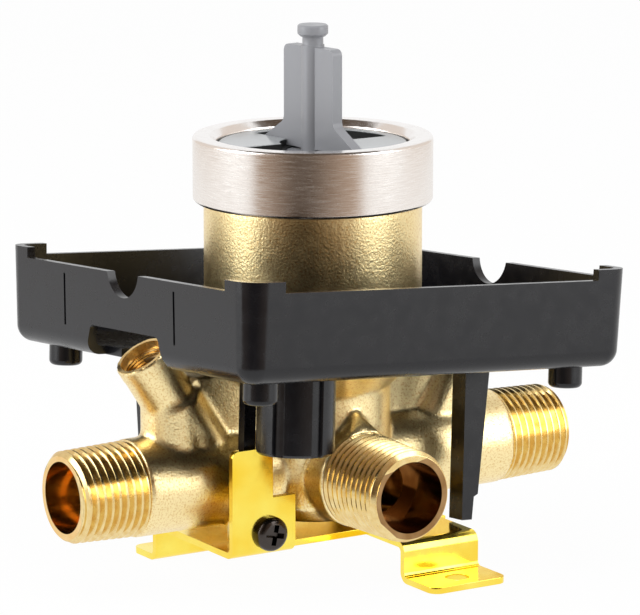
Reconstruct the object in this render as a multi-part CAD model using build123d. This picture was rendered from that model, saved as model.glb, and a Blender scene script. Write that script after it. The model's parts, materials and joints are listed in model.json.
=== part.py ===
from build123d import *
import os
from math import cos, radians, sin, sqrt, tan

# Concealed diverter valve, in millimetres.
# The origin is on the cartridge axis, in the plane that the bracket's feet stand on.
# +Z is the cartridge axis, X runs through the two supply ports, Y through the two outlet ports.

# Clearances
slip = 0.15                 # parts pushed together by hand
running = 0.06              # shafts that turn in a bore
seat_gap = 0.3              # a loose piece over what it stands on
film = 0.05                 # water film between the ceramic discs

# Cast body
port_height = 23.0          # port axis over the feet
supply_reach = 64.6         # cartridge axis to the face of a supply port
outlet_reach = 40.6         # cartridge axis to the face of an outlet port
barrel_r = 24.5
barrel_wall = 3.8
barrel_top = 93.2
barrel_base = 47.5          # where the barrel starts to draw in
trunk_r = 17.5              # the narrower body under the barrel
trunk_top = 41.5
trunk_base = 12.0
trunk_edge = 4.0
chamber_floor = 45.5        # where the cartridge seals
spigot_depth = 5.7          # lower step of the cartridge and of its bore
spigot_wall = 2.2
waterway_r = 6.0
waterway_end = 8.0          # the four waterways stop this far from the axis
riser_r = 4.5               # vertical passages from the waterways to the discs
riser_pitch_r = 9.6

# Port ends
pipe_r = 11.0               # cast part of a port pipe
thread_r = 10.25            # over the thread crests at the face
thread_taper = 1 / 32       # rise of radius along a taper pipe thread
supply_thread = 16.3
outlet_thread = 19.5
thread_bevel = 0.7
socket_r = 8.0              # takes a copper tube
socket_depth = 12.7
gusset_height = 14.5        # top of the web over an outlet pipe
gusset_reach = 27.0
gusset_half = 9.0
gusset_root = 4.0           # how deep the web reaches into the trunk
gusset_ridge = 1.6
gusset_peak = 5.0

# Service stops
stop_tilt = 33.0            # stop axis off the vertical
stop_from_face = 39.2       # supply face to where the stop axis meets the port axis
stop_mouth = 35.6           # mouth, measured along the stop axis
stop_shoulder = 22.0        # where the thick lower boss ends
stop_boss_r = 7.3
stop_neck_r = 6.2
stop_bore_r = 4.8
stop_seat_at = 6.0
stop_seat_r = 3.2
stop_chamber_step = 11.1    # the upright chamber stands this far outside the stop's foot
stop_chamber_top = 43.0
stop_chamber_edge = 2.5
supply_bore_step = 8.0      # the supply bore ends this far outside the stop's foot
stop_travel = 2.6
stop_washer_t = 2.2
stop_washer_r = 4.3
stop_holder_len = 7.0
stop_holder_r = 3.0
stop_thread_len = 7.5
stop_groove_at = 3.6        # o-ring groove below the spindle's thread
stop_ring_from_mouth = 4.6
stop_ring_t = 0.8
stop_ring_w = 1.2
stop_ring_gap = 3.0
stop_lift = 0.15            # the washer stops this far short of its full stroke
stop_pin_r = 1.6            # swivel pin between the holder and the spindle
stop_pin_len = 1.5
stop_shaft_neck = 0.9       # the spindle's plain end is this much thinner than the bore
stop_flange_t = 1.2
screwdriver_w = 1.2
screwdriver_depth = 1.6

# Bonnet nut
nut_r = 26.9
nut_base = 83.3
nut_top = 98.0
nut_lip_r = 21.6
nut_lip_t = 2.3
nut_bevel = 1.5
nut_edge = 0.5

# Cartridge
cap_flange_t = 2.35
cap_plug = 5.4
cap_face = 96.3
pocket_depth = 1.6          # sunk sectors that the stem's feet swing in
pocket_r = 18.6
pocket_hub_r = 7.4
oring_d = 2.0
small_oring_d = 1.2         # on the stem and round the housing
stop_oring_d = 1.5
groove_room = 0.04          # a ring's groove is this much larger on each side
housing_wall = 2.4
disc_rim = 1.0              # what is left of a disc outside its holes
disc_hole_less = 0.7        # the holes in the discs are this much smaller than the risers
disc_t = 4.5
disc_seal_t = 1.3
disc_pocket = 2.5           # depth of the moving disc's arc-shaped pocket
driver_rim = 1.0            # the driver is this much smaller than the discs
driver_t = 6.5
driver_rib_w = 3.8
driver_rib_t = 1.1
shaft_r = 5.9
key_side = 7.6
key_depth = 5.0
clip_r = 8.6
clip_t = 1.0
clip_groove = 1.0
clip_spread = 0.7           # half of what the clip's mouth is narrower than its groove
cap_edge = 0.4
cap_oring_up = 2.4          # ring places, over the lower end of what carries them
housing_oring_up = 2.6
stem_oring_up = (1.6, 4.2)
drum_lap = 1.0              # the drum's thick foot reaches this far past the driver
drum_slope = 2.5
window_height = 14.0
window_sill = 3.0
window_width = 11.0

# Stem
stem_turn = 9.0             # how far the paddle stands off the Y axis at rest
stem_travel = 100.0         # it turns clockwise, from above, to the other stop
fin_half = 8.3
fin_t = 2.75
fin_top = 116.4
fin_corner = 2.6
foot_half = 15.6
foot_t = 1.4
flare_top = 104.5
post_r = 2.85
post_cone = 2.0
neck_r = 2.45
head_r = 3.45
head_t = 3.1
head_edge = 0.6
stem_top = 122.7

# Plaster guard
guard_lean = 6.0            # it sits loosely and leans, near corner up
guard_yaw = 1.7
guard_side = 101.4
guard_base = 48.0
guard_rim = 67.6
guard_wall = 2.0
guard_corner = 4.5
guard_round = 4.0           # round between the walls and the floor, outside
guard_draft = 2.4
guard_fit = 0.8             # floor hole over the barrel
tab_rise = 2.4
tab_reach = 9.3
notch_r = 6.6
notch_rise = 1.2            # notch centre over the rim
window_half = 16.8          # bottom cut-out in the walls over the stops
window_slope = 2.8
window_rise = 7.0
window_corner = 1.5
stop_slot_half = 9.5
stop_slot_start = 32.5
slit_half = 23.0            # two scored lines beside each notch
slit_shift = 2.0
slit_w = 0.7
slit_depth = 0.6
slit_margin = 2.0           # the scored lines stop this far from the rim and the base
peg_r = 3.8
peg_len = 5.1
peg_at = 40.6
peg_round = 1.2
rib_post_r = 8.65           # ribbed post, over the ribs
rib_height = 0.9
rib_w = 6.1
rib_count = 6
rib_post_x = 21.1
rib_post_y = 25.2
rib_post_base = 29.4
rib_post_edge = 0.6
screw_pilot_r = 2.1
leg_x = 28.3
leg_top_w = 7.0
leg_mid_w = 4.3
leg_foot_w = 2.8
leg_taper = 0.4             # the foot widens by this much up to the step
leg_shoulder = 0.6
leg_step = 16.0             # step in the leg's outer edge, over the feet
leg_y = 14.9
leg_depth = 5.0
tongue_x = 23.0
tongue_w = 3.0
tongue_y = 9.9
tongue_t = 2.3
tongue_base = 20.0
floor_hole_drop = 4.0       # the hole for the barrel also clears the posts this far under the floor

# Bracket
sheet = 1.5
bend = 1.0                  # inside bend radius
plate_top = 9.3
plate_left = 31.5
plate_right = 27.6
plate_half_y = 17.0
front_foot = (6.0, 26.0)    # from and to, along X
front_riser = 28.6
front_end = 40.5
rear_foot = (-31.5, -12.0)
rear_riser = 18.4
rear_end = 28.0
foot_hole_r = 2.7
foot_hole_back = 5.6        # hole centre from the flange's end
foot_corner = 2.5
tab_in = 15.2               # inner edge of a screw tab from the axis
tab_low = 21.0
tab_step = 21.0             # the front tab is narrower above tab_low
tab_high = 32.4
tab_corner = 1.6
plate_lap = 4.0             # how far feet and tabs run back into the plate
screw_x = 22.0
screw_z = 12.9

# Bracket screws and the lugs that take them
lug_half = 4.5
lug_top = 18.0
screw_head_r = 3.9
screw_head_t = 2.5
screw_r = 1.65
screw_len = 9.0
recess_w = 1.1
recess_reach = 2.3
recess_depth = 1.4

# Sizes that follow from the ones above
barrel_bore_r = barrel_r - barrel_wall
chamber_step = chamber_floor + spigot_depth
flange_top = barrel_top + cap_flange_t
nut_seat = nut_top - nut_lip_t
stop_foot = supply_reach - stop_from_face
stop_chamber_x = stop_foot + stop_chamber_step
supply_bore_end = stop_foot + supply_bore_step
stop_ring_at = stop_mouth - stop_ring_from_mouth
disc_hole_r = riser_r - disc_hole_less
disc_r = riser_pitch_r + disc_hole_r + disc_rim
spigot_r = disc_r + spigot_wall
driver_r = disc_r - driver_rim
disc_base = chamber_floor + disc_seal_t
disc_top = disc_base + disc_t
moving_base = disc_top + film
driver_base = moving_base + disc_t
driver_top = driver_base + driver_t
plug_base = barrel_top - cap_plug
pocket_floor = cap_face - pocket_depth
foot_base = pocket_floor + 0.2
leg_drop = (leg_x + leg_foot_w - leg_y) * sin(radians(guard_lean)) / sqrt(2)
leg_base = plate_top + seat_gap + leg_drop
rib_root_r = rib_post_r - rib_height
cap_oring_z = plug_base + cap_oring_up
housing_oring_z = chamber_step + housing_oring_up
stem_oring_z = [plug_base + rise for rise in stem_oring_up]

up = (Align.CENTER, Align.CENTER, Align.MIN)


def stack(*profile):
    """A solid turned about Z from its half outline, as (radius, height) points."""
    return revolve(make_face(Plane.XZ * Polyline(*profile, close=True)), Axis.Z)


def rod(r, low, high):
    return Pos(0, 0, low) * Cylinder(r, high - low, align=up)


def ring(outer, inner, low, high):
    return rod(outer, low, high) - rod(inner, low - 1, high + 1)


def oring(r, z, section=oring_d):
    """A rubber ring whose outside is at r."""
    return Pos(0, 0, z) * Torus(r - section / 2, section / 2)


def oring_groove(r, z, section=oring_d):
    """What is cut from a shaft so that a ring whose outside is at r lies in it."""
    half = section / 2 + groove_room
    return ring(r + 1, r - section - groove_room, z - half, z + half)


def along_x(shape, side):
    """Turns a shape that stands on Z so that it points along +X or -X, at port height."""
    return Pos(0, 0, port_height) * Rot(0, 90 * side, 0) * shape


def along_y(shape, side):
    return Pos(0, 0, port_height) * Rot(-90 * side, 0, 0) * shape


def on_stop(shape, side):
    """Places a shape that stands on Z on the stop axis of the +X or -X side."""
    return Pos(side * stop_foot, 0, port_height) * Rot(0, side * stop_tilt, 0) * shape


def port_outside(reach, thread):
    """The threaded end and the cast pipe behind it."""
    start = reach - thread
    big = thread_r + thread * thread_taper
    end = stack((0, start), (big - thread_bevel, start), (big, start + thread_bevel),
                (thread_r, reach - thread_bevel), (thread_r - thread_bevel, reach), (0, reach))
    return end + rod(pipe_r, 0, start)


def port_inside(reach, end):
    """The tube socket and the waterway behind it."""
    return rod(socket_r, reach - socket_depth, reach + 1) + rod(waterway_r, end, reach)


def gusset(side):
    """The web that a pattern maker leaves between an outlet pipe and the trunk."""
    inner = trunk_r - gusset_root
    low = port_height + pipe_r * 0.4
    high = port_height + gusset_height
    base = Pos(0, (inner + gusset_reach) / 2, low) * Rectangle(2 * gusset_half, gusset_reach - inner)
    peak = Pos(0, inner + gusset_peak / 2, high) * Rectangle(gusset_ridge, gusset_peak)
    return Rot(0, 0, 0 if side > 0 else 180) * loft([base, peak])


def stop_outside(side):
    boss = rod(stop_boss_r, 0, stop_shoulder) + rod(stop_neck_r, 0, stop_mouth)
    tower = Pos(side * stop_chamber_x, 0, 0) * rod(stop_boss_r, port_height, stop_chamber_top)
    tower = fillet(tower.edges().sort_by(Axis.Z)[-1], stop_chamber_edge)
    return on_stop(boss, side) + tower


def stop_inside(side):
    """Bore of a stop, its seat, and the passages above and below the seat."""
    bore = rod(stop_bore_r, stop_seat_at, stop_mouth + 1) + rod(stop_seat_r, 0, stop_mouth)
    supply = rod(waterway_r + 0.5, supply_bore_end, supply_reach)
    return on_stop(bore, side) + along_x(supply, side)


def screw_lug():
    """Lug beside a supply pipe, with the bracket screw's pilot hole."""
    outer = plate_half_y - sheet
    depth = outer - pipe_r * 0.5
    low = plate_top
    block = Pos(-screw_x, -outer + depth / 2, low) * Box(2 * lug_half, depth, lug_top - low, align=up)
    toe = block.edges().filter_by(Axis.X).group_by(Axis.Z)[0].sort_by(Axis.Y)[0]
    return chamfer(toe, bend + slip)


def screw_pilot():
    hole = Rot(-90, 0, 0) * rod(screw_r, 0, screw_len + 1)
    return Pos(-screw_x, -plate_half_y, screw_z) * hole


def valve_body():
    outside = stack((0, trunk_base), (trunk_r - trunk_edge, trunk_base), (trunk_r, trunk_base + trunk_edge),
                    (trunk_r, trunk_top), (barrel_r, barrel_base), (barrel_r, nut_base),
                    (barrel_r - 0.3, nut_base + 0.3), (barrel_r - 0.3, barrel_top - 0.8),
                    (barrel_r - 1.1, barrel_top), (0, barrel_top))
    bore = rod(barrel_bore_r, chamber_step, barrel_top + 1) + rod(spigot_r + slip, chamber_floor, barrel_top)
    body = outside
    for side in (1, -1):
        body += along_x(port_outside(supply_reach, supply_thread), side)
        body += along_y(port_outside(outlet_reach, outlet_thread), side)
        body += gusset(side)
        body += stop_outside(side)
    body += screw_lug() + Rot(0, 0, 180) * screw_lug()
    body -= bore
    for side in (1, -1):
        body -= along_y(port_inside(outlet_reach, waterway_end), side)
        body -= along_x(rod(socket_r, supply_reach - socket_depth, supply_reach + 1), side)
        body -= along_x(rod(waterway_r, waterway_end, stop_foot), side)
        body -= stop_inside(side)
        body -= Pos(side * riser_pitch_r, 0, 0) * rod(riser_r, port_height, chamber_floor + 1)
        body -= Pos(0, side * riser_pitch_r, 0) * rod(riser_r, port_height, chamber_floor + 1)
    body -= screw_pilot()
    body -= Rot(0, 0, 180) * screw_pilot()
    return body


def bonnet_nut():
    bore = barrel_r + slip
    return stack((bore, nut_base), (nut_r - nut_edge, nut_base), (nut_r, nut_base + nut_edge),
                 (nut_r, nut_top - nut_edge), (nut_r - nut_edge, nut_top), (nut_lip_r + nut_bevel, nut_top),
                 (nut_lip_r, nut_top - nut_bevel), (nut_lip_r, nut_seat), (bore, nut_seat))


def stem_sweep(half, width):
    """Plan of a bar of this half length turned through the stem's travel."""
    bars = Rectangle(width, 2 * half) + Rot(0, 0, -stem_travel) * Rectangle(width, 2 * half)
    arms = []
    for start in (90, -90):
        steps = [start - stem_travel * i / 4 for i in range(5)]
        tips = [(2 * half * cos(radians(a)), 2 * half * sin(radians(a))) for a in steps]
        arms.append(Polygon((0, 0), *tips, align=None))
    return Circle(half) & (bars + arms[0] + arms[1])


def cartridge_cap():
    """Static cap. The stem's feet swing in two sunk sectors, whose ends are the stem's stops."""
    flange_r = barrel_r - 1.2
    plug_r = barrel_bore_r - slip
    face_r = nut_lip_r - seat_gap
    cap = stack((0, plug_base), (plug_r, plug_base), (plug_r, barrel_top), (flange_r, barrel_top),
                (flange_r, flange_top), (face_r, flange_top), (face_r, cap_face - cap_edge),
                (face_r - cap_edge, cap_face), (0, cap_face))
    cap -= oring_groove(barrel_bore_r - running, cap_oring_z)
    plan = stem_sweep(pocket_r, fin_t + 2 * slip) + Circle(pocket_hub_r)
    cap -= Pos(0, 0, pocket_floor) * Rot(0, 0, stem_turn) * extrude(plan, pocket_depth + 1)
    return cap - rod(shaft_r + running, plug_base - 1, cap_face)


def cap_oring():
    return oring(barrel_bore_r - running, cap_oring_z)


def cartridge_housing():
    """Open drum between the cap and the discs, with a window over each outlet."""
    outer = barrel_bore_r - slip
    bore = disc_r + slip
    wide = outer - housing_wall
    drum = stack((bore, disc_base), (spigot_r, disc_base), (spigot_r, chamber_step), (outer, chamber_step),
                 (outer, plug_base), (wide, plug_base), (wide, driver_top + drum_lap),
                 (bore, driver_top + drum_lap - drum_slope))
    drum -= oring_groove(barrel_bore_r - running, housing_oring_z, small_oring_d)
    window = Pos(0, 0, driver_top + window_sill) * Box(window_width, 3 * outer, window_height, align=up)
    return drum - window - Rot(0, 0, 90) * window


def housing_oring():
    return oring(barrel_bore_r - running, housing_oring_z, small_oring_d)


def disc_ports(depth_low, depth_high):
    holes = rod(disc_hole_r, depth_low, depth_high)
    return [Rot(0, 0, 90 * i) * Pos(riser_pitch_r, 0, 0) * holes for i in range(4)]


def disc_seal():
    seal = rod(spigot_r, chamber_floor, disc_base)
    for hole in disc_ports(chamber_floor - 1, disc_base + 1):
        seal -= hole
    return seal


def fixed_disc():
    disc = rod(disc_r, disc_base, disc_top)
    for hole in disc_ports(disc_base - 1, disc_top + 1):
        disc -= hole
    return disc


def moving_disc():
    """Ceramic disc with the arc-shaped pocket that joins the supplies to one outlet."""
    disc = rod(disc_r - slip, moving_base, driver_base)
    reach = riser_pitch_r + disc_hole_r
    inner = riser_pitch_r - disc_hole_r
    arc = ring(reach, inner, moving_base - 1, moving_base + disc_pocket)
    half = Pos(0, -disc_r, moving_base - 1) * Box(2 * disc_r, 2 * disc_r, disc_t, align=up)
    slot = Pos(0, 0, driver_base - driver_rib_t - slip) * Box(
        driver_rib_w + 2 * slip, 2 * disc_r, 2 * driver_rib_t, align=up)
    return Rot(0, 0, stem_turn) * (disc - (arc & half) - slot)


def disc_driver():
    """Turned by the stem's square key. A rib under it drives the moving disc."""
    driver = rod(driver_r, driver_base, driver_top)
    rib = Box(driver_rib_w, 2 * (driver_r - driver_rim), 2 * driver_rib_t, align=up)
    driver += Pos(0, 0, driver_base - driver_rib_t) * rib
    socket = Pos(0, 0, driver_top - key_depth - 2 * slip)
    driver -= socket * Box(key_side + 2 * slip, key_side + 2 * slip, key_depth + 2, align=up)
    return Rot(0, 0, stem_turn) * driver


def fin_outline():
    """Half outline of the paddle: straight fin, concave flare and flat foot."""
    outline = Polyline((0, foot_base), (foot_half, foot_base), (foot_half, foot_base + foot_t),
                       (fin_half, flare_top), (fin_half, fin_top), (0, fin_top), close=True)
    face = make_face(outline)
    corner = face.vertices().sort_by_distance((fin_half, fin_top))[0]
    face = fillet(corner, fin_corner)
    reach = foot_half - fin_half
    rise = flare_top - foot_base - foot_t
    hollow = Pos(foot_half, flare_top) * Ellipse(reach, rise)
    return face - hollow


def diverter_stem():
    half = fin_outline()
    plan = half + mirror(half, Plane.YZ)
    paddle = Plane.XZ * plan
    paddle = Pos(0, fin_t / 2, 0) * extrude(paddle, fin_t)
    paddle = Rot(0, 0, 90) * paddle
    clip_at = plug_base - clip_t - slip
    low = driver_top - key_depth
    shaft = stack((0, driver_top), (shaft_r, driver_top), (shaft_r, clip_at - slip),
                  (shaft_r - clip_groove, clip_at - slip), (shaft_r - clip_groove, clip_at + clip_t),
                  (shaft_r, clip_at + clip_t), (shaft_r, foot_base + foot_t),
                  (post_r, foot_base + foot_t + post_cone),
                  (post_r, fin_top + post_r - neck_r), (neck_r, fin_top + 2 * (post_r - neck_r)),
                  (neck_r, stem_top - head_t), (head_r - head_edge / 2, stem_top - head_t),
                  (head_r, stem_top - head_t + head_edge / 2), (head_r, stem_top - head_edge),
                  (head_r - head_edge, stem_top), (0, stem_top))
    for z in stem_oring_z:
        shaft -= oring_groove(shaft_r, z, small_oring_d)
    key = Pos(0, 0, low) * Box(key_side, key_side, key_depth + 1, align=up)
    return Rot(0, 0, stem_turn) * (paddle + shaft + key)


def stem_orings():
    return Compound(children=[oring(shaft_r, z, small_oring_d) for z in stem_oring_z])


def stem_clip():
    """Spring clip that keeps the stem in the cap."""
    low = plug_base - clip_t - slip
    clip = ring(clip_r, shaft_r - clip_groove + groove_room, low, low + clip_t)
    gap = 2 * (shaft_r - clip_groove - clip_spread)
    mouth = Pos(clip_r, 0, low - 1) * Box(2 * clip_r, gap, clip_t + 2, align=up)
    return Rot(0, 0, stem_turn) * (clip - mouth)


def stop_parts(side):
    """The moving pieces of one service stop, drawn open."""
    washer_low = stop_seat_at + stop_travel + stop_lift
    holder_low = washer_low + stop_washer_t
    spindle_low = holder_low + stop_holder_len
    neck_top = spindle_low + stop_groove_at
    thread_top = neck_top + stop_thread_len
    thread = stop_bore_r - slip
    washer = rod(stop_washer_r, washer_low, holder_low)
    holder = rod(stop_washer_r - slip, holder_low, holder_low + stop_flange_t)
    holder += rod(stop_holder_r, holder_low, spindle_low)
    holder += rod(stop_pin_r, holder_low, spindle_low + stop_pin_len)
    spindle = rod(stop_bore_r - stop_shaft_neck, spindle_low, neck_top) + rod(thread, neck_top, thread_top)
    spindle -= rod(stop_pin_r + running, spindle_low - 1, spindle_low + stop_pin_len + slip)
    groove = spindle_low + stop_groove_at / 2
    spindle -= oring_groove(thread, groove, stop_oring_d)
    slot = Box(screwdriver_w, 3 * stop_bore_r, 2 * screwdriver_depth, align=up)
    spindle -= Pos(0, 0, thread_top - screwdriver_depth) * slot
    seal = oring(thread, groove, stop_oring_d)
    snap_r = stop_bore_r - groove_room / 2
    snap = ring(snap_r, stop_bore_r - stop_ring_w, stop_ring_at, stop_ring_at + stop_ring_t)
    opening = Box(stop_ring_gap, 2 * stop_bore_r, stop_ring_t + 2, align=up)
    snap -= Pos(0, stop_bore_r, stop_ring_at - 1) * opening
    pieces = {"stop_washer": washer, "stop_washer_holder": holder, "stop_spindle": spindle,
              "stop_oring": seal, "stop_snap_ring": snap}
    name = "right_" if side > 0 else "left_"
    return {name + key: on_stop(shape, side) for key, shape in pieces.items()}


def guard_shell():
    """Drafted square tray with corner tabs and a round between its walls and floor."""
    rise = guard_rim + tab_rise - guard_base
    spread = rise * tan(radians(guard_draft))
    low_side = guard_side - 2 * (guard_rim - guard_base) * tan(radians(guard_draft))
    outer = RectangleRounded(low_side, low_side, guard_corner)
    inner = RectangleRounded(low_side - 2 * guard_wall, low_side - 2 * guard_wall, guard_corner - guard_wall)
    tray = extrude(outer, rise, taper=-guard_draft)
    tray = fillet(tray.edges().group_by(Axis.Z)[0], guard_round)
    hollow = Pos(0, 0, guard_wall) * extrude(inner, rise, taper=-guard_draft)
    hollow = fillet(hollow.edges().group_by(Axis.Z)[0], guard_round - guard_wall)
    tray = Pos(0, 0, guard_base) * (tray - hollow)
    span = guard_side - 2 * tab_reach
    for size in ((span, guard_side + 2 * spread), (guard_side + 2 * spread, span)):
        tray -= Pos(0, 0, guard_rim) * Box(*size, tab_rise + 1, align=up)
    return tray


def guard_window():
    """Cut-out over one stop: a slanted window in the wall and a slot in the floor."""
    wall = guard_side / 2
    half = window_half
    top = guard_base + window_rise
    outline = Polygon((-half, guard_base - 1), (half, guard_base - 1), (half - window_slope, top),
                      (window_slope - half, top), align=None)
    outline = fillet(outline.vertices().group_by(Axis.Y)[-1], window_corner)
    cut = Pos(wall - 3 * guard_wall, 0, 0) * extrude(Plane.YZ * outline, 6 * guard_wall)
    deep = wall - stop_slot_start
    slot = Box(deep, 2 * stop_slot_half, guard_wall + 2, align=up)
    slot = Pos(stop_slot_start + deep / 2, 0, guard_base - 1) * slot
    return cut + fillet(slot.edges().filter_by(Axis.Z), guard_wall)


def guard_notch():
    """Half-round notch in the rim and the two scored lines of the break-out panel."""
    wall = guard_side / 2
    notch = Pos(wall, 0, guard_rim + notch_rise) * Rot(0, 90, 0) * Cylinder(notch_r, 6 * guard_wall)
    low_face = wall - (guard_rim - guard_base) * tan(radians(guard_draft))
    start = guard_round + slit_margin
    for y in (slit_half, -slit_half):
        slit = Box(2 * slit_depth, slit_w, guard_rim - guard_base - start - slit_margin, align=up)
        place = Pos(low_face, y - slit_shift, guard_base) * Rot(0, guard_draft, 0)
        notch += place * Pos(0, 0, start) * slit
    return notch


def ribbed_post():
    """Post that takes a long trim screw from the tray's floor."""
    ribs = Circle(rib_root_r)
    for i in range(rib_count // 2):
        ribs += Rot(0, 0, 360 * i / rib_count) * Rectangle(2 * rib_post_r, rib_w)
    height = guard_base - rib_post_base + guard_wall / 2
    round_bar = rod(rib_post_r, 0, height)
    round_bar = chamfer(round_bar.edges().sort_by(Axis.Z)[0], rib_post_edge)
    return Pos(-rib_post_x, -rib_post_y, rib_post_base) * (extrude(ribs, height) & round_bar)


def guard_leg():
    """Tapering leg that stands beside the bracket plate."""
    x = leg_x
    outline = Polygon((x, leg_base), (x + leg_foot_w, leg_base), (x + leg_foot_w + leg_taper, leg_step),
                      (x + leg_mid_w, leg_step + leg_shoulder), (x + leg_top_w, guard_base + guard_wall / 2),
                      (x, guard_base + guard_wall / 2), align=None)
    return Pos(0, -leg_y, 0) * extrude(Plane.XZ * outline, leg_depth)


def guard_peg(x, y):
    peg = rod(peg_r, guard_base - peg_len, guard_base + guard_wall / 2)
    return Pos(x, y, 0) * fillet(peg.edges().sort_by(Axis.Z)[0], peg_round)


def guard_tongue():
    """Flat strip that reaches down beside the front stop boss."""
    rise = guard_base + guard_wall / 2 - tongue_base
    strip = Box(tongue_w, tongue_t, rise, align=up)
    return Pos(-tongue_x - tongue_w / 2, -tongue_y - tongue_t / 2, tongue_base) * strip


def plaster_guard():
    guard = guard_shell()
    for turn in (0, 180):
        turned = Rot(0, 0, turn)
        guard -= turned * guard_window()
        guard -= turned * guard_notch()
        guard += turned * guard_leg()
        guard += turned * ribbed_post()
    for x in (peg_at, -peg_at):
        for y in (peg_at, -peg_at):
            guard += guard_peg(x, y)
    guard += guard_tongue()
    guard -= rod(barrel_r + guard_fit, guard_base - floor_hole_drop, guard_base + guard_wall + 1)
    pilot = rod(screw_pilot_r, rib_post_base - 1, guard_rim)
    for side in (1, -1):
        guard -= Pos(side * rib_post_x, side * rib_post_y, 0) * pilot
    centre = Pos(0, 0, guard_base)
    lean = Rot(0, 0, -45) * Rot(-guard_lean, 0, 0) * Rot(0, 0, 45 + guard_yaw)
    return centre * lean * centre.inverse() * guard


def bent_foot(x_from, x_to, riser, end, side):
    """Strip of the plate that bends down to the feet plane and out again, towards side."""
    low = plate_top - sheet
    start = plate_half_y - plate_lap
    points = [(start, plate_top), (riser, plate_top), (riser, sheet), (end, sheet),
              (end, 0), (riser - sheet, 0), (riser - sheet, low), (start, low)]
    face = make_face(Polyline(*points, close=True))
    radii = {1: bend + sheet, 2: bend, 5: bend + sheet, 6: bend}
    for index, radius in radii.items():
        corner = face.vertices().sort_by_distance(points[index])[0]
        face = fillet(corner, radius)
    strip = extrude(Plane.YZ * face, x_to - x_from)
    foot = Pos(x_from, 0, 0) * strip if side > 0 else Pos(x_to, 0, 0) * Rot(0, 0, 180) * strip
    tip = foot.edges().filter_by(Axis.Z).group_by(Axis.Y)[-1 if side > 0 else 0]
    foot = fillet(tip, foot_corner)
    hole_y = side * (end - foot_hole_back)
    return foot - Pos((x_from + x_to) / 2, hole_y, 0) * rod(foot_hole_r, -1, sheet + 1)


def screw_tab(x_from, x_to, top):
    """Tab bent up from the front edge of the plate."""
    low = plate_top - sheet
    start = plate_lap - plate_half_y
    outer = -plate_half_y
    points = [(start, low), (outer, low), (outer, top), (outer + sheet, top), (outer + sheet, plate_top),
              (start, plate_top)]
    face = make_face(Polyline(*points, close=True))
    for index, radius in {1: bend + sheet, 4: bend}.items():
        corner = face.vertices().sort_by_distance(points[index])[0]
        face = fillet(corner, radius)
    tab = Pos(x_from, 0, 0) * extrude(Plane.YZ * face, x_to - x_from)
    return tab - Pos(-screw_x, outer - 1, screw_z) * Rot(-90, 0, 0) * rod(screw_r + slip, 0, sheet + 2)


def mounting_bracket():
    width = plate_left + plate_right
    depth = 2 * (plate_half_y - plate_lap)
    plate = Pos((plate_right - plate_left) / 2, 0, plate_top - sheet) * Box(width, depth, sheet, align=up)
    for x_from, x_to, side in ((*front_foot, -1), (*rear_foot, 1)):
        plate += bent_foot(x_from, x_to, front_riser if side < 0 else rear_riser,
                           front_end if side < 0 else rear_end, side)
    front = screw_tab(-plate_left, -tab_in, tab_high)
    step = Pos(-tab_step, -plate_half_y - 1, tab_low) * Box(
        tab_step, 2 * sheet + 2, tab_high, align=(Align.MIN, Align.MIN, Align.MIN))
    front -= step
    corners = front.edges().filter_by(Axis.Y).group_by(Axis.Z)
    front = fillet(corners[-1], tab_corner)
    rear = screw_tab(-plate_right, -tab_in, tab_low)
    rear = fillet(rear.edges().filter_by(Axis.Y).group_by(Axis.Z)[-1], tab_corner)
    return plate + front + Rot(0, 0, 180) * rear


def bracket_screw():
    """Pan-head cross-recess screw, drawn along +Z and laid along Y in the front tab."""
    dome = stack((0, -screw_head_t), (screw_head_r * 0.55, -screw_head_t),
                 (screw_head_r * 0.9, -screw_head_t * 0.72), (screw_head_r, -screw_head_t * 0.3),
                 (screw_head_r, 0), (0, 0))
    shank = rod(screw_r - 0.02, 0, screw_len)
    cross = Pos(0, 0, -screw_head_t) * Box(2 * recess_reach, recess_w, 2 * recess_depth)
    cross += Pos(0, 0, -screw_head_t) * Box(recess_w, 2 * recess_reach, 2 * recess_depth)
    screw = dome + shank - Rot(0, 0, 30) * cross
    return Pos(-screw_x, -plate_half_y, screw_z) * Rot(-90, 0, 0) * screw


parts = {
    "valve_body": valve_body(),
    "bonnet_nut": bonnet_nut(),
    "cartridge_cap": cartridge_cap(),
    "cap_oring": cap_oring(),
    "cartridge_housing": cartridge_housing(),
    "housing_oring": housing_oring(),
    "disc_seal": disc_seal(),
    "fixed_disc": fixed_disc(),
    "moving_disc": moving_disc(),
    "disc_driver": disc_driver(),
    "diverter_stem": diverter_stem(),
    "stem_orings": stem_orings(),
    "stem_clip": stem_clip(),
    "plaster_guard": plaster_guard(),
    "mounting_bracket": mounting_bracket(),
    "front_bracket_screw": bracket_screw(),
    "rear_bracket_screw": Rot(0, 0, 180) * bracket_screw(),
    **stop_parts(-1),
    **stop_parts(1),
}

os.makedirs("parts", exist_ok=True)
for name, shape in parts.items():
    export_step(shape, f"parts/{name}.step")
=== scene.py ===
import json
from math import cos, pi, radians, sin, tan

import bpy
from mathutils import Matrix, Vector


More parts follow.
